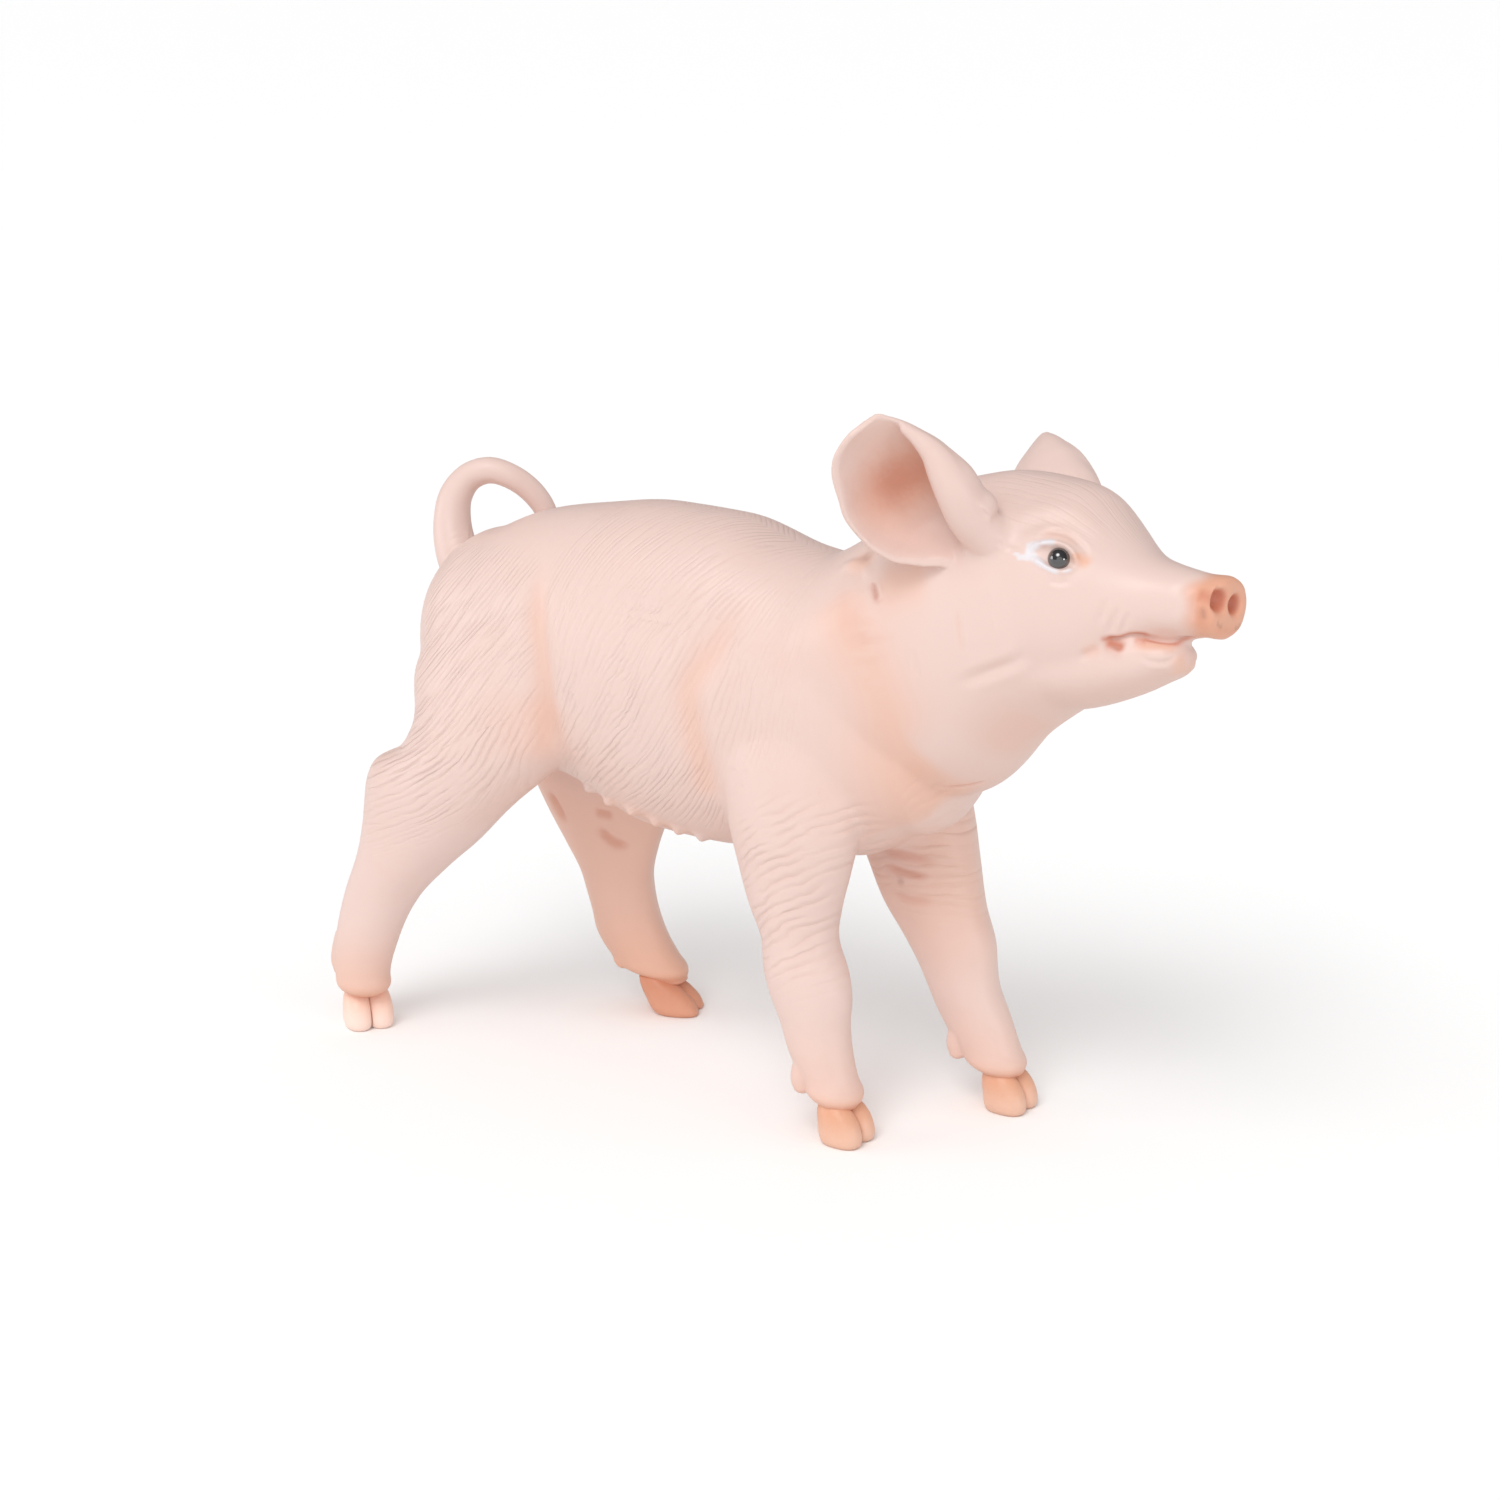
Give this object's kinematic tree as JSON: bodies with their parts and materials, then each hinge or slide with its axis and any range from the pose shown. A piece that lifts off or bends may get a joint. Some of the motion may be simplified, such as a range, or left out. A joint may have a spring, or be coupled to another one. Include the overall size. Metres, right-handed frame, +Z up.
{
  "type": "toy piglet figurine",
  "caption": "Moulded vinyl figurine of a young pig walking, head cocked, ears cupped, tail curled over the rump, four cloven trotters on the ground.",
  "frame": {"origin": "middle of the footprint of the whole figurine, on the ground", "axes": "+X the way the piglet walks, +Y its left side, +Z up"},
  "size_m": [0.1256, 0.0448, 0.0916],
  "materials": {
    "flesh": "soft vinyl, pale pink, satin, with sprayed apricot shading in the creases",
    "ear": "soft vinyl, pale pink outside, sprayed reddish orange inside",
    "nose": "soft vinyl, orange pink",
    "hoof": "soft vinyl, orange pink",
    "eye": "gloss black paint"
  },
  "bodies": {
    "root": {"ear_left": "ear", "ear_right": "ear", "eye_left": "eye", "eye_right": "eye", "head": "flesh", "hoof_front_left_inner": "hoof", "hoof_front_left_outer": "hoof", "hoof_front_right_inner": "hoof", "hoof_front_right_outer": "hoof", "hoof_hind_left_inner": "hoof", "hoof_hind_left_outer": "hoof", "hoof_hind_right_inner": "hoof", "hoof_hind_right_outer": "hoof", "leg_front_left": "flesh", "leg_front_right": "flesh", "leg_hind_left": "flesh", "leg_hind_right": "flesh", "neck": "flesh", "snout": "nose", "tail_end": "flesh", "tail_root": "flesh", "trunk": "flesh"}
  },
  "joints": []
}
